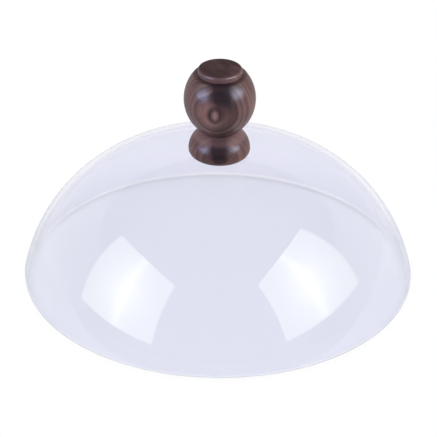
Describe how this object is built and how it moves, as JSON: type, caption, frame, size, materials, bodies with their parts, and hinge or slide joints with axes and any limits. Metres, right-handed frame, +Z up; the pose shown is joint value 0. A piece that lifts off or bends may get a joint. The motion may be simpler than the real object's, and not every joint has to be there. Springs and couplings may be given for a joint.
{
  "type": "food cover dome",
  "caption": "Clear round serving dome with a turned dark wood knob screwed to its crown, lifted by hand to cover plated food on a buffet.",
  "frame": {"origin": "centre of the circle that the rim stands on, on the rest surface", "axes": "+Z up the axis of the dome and the knob; X and Y are free, +Y points away from the pictured side"},
  "size_m": [0.2997, 0.2998, 0.1734],
  "materials": {
    "clear_acrylic": "clear, polished",
    "dark_wood": "dark stained, satin oiled",
    "stainless_steel": "bright",
    "zinc_plated_steel": "zinc plated",
    "silicone": "translucent white, matt"
  },
  "bodies": {
    "cover": {"dome_shell": "clear_acrylic", "inner_seal": "silicone", "flat_washer": "stainless_steel", "spring_washer": "stainless_steel", "clamp_screw": "stainless_steel"},
    "seal": {"foot_seal": "silicone"},
    "knob": {"knob_foot": "dark_wood", "knob_ball": "dark_wood", "knob_cap": "dark_wood", "tee_nut": "zinc_plated_steel"}
  },
  "joints": [
    {"name": "knob_turn", "type": "hinge", "parent": "cover", "child": "seal", "pos_m": [0, 0, 0.102], "axis": [0, 0, 1], "range_deg": [0, 3960]},
    {"name": "knob_rise", "type": "slide", "parent": "seal", "child": "knob", "axis": [0, 0, 1], "range_m": [0, 0.011]}
  ],
  "couplings": [
    {"joint": "knob_rise", "follows": "knob_turn", "m_per_rad": 0.00015915}
  ]
}
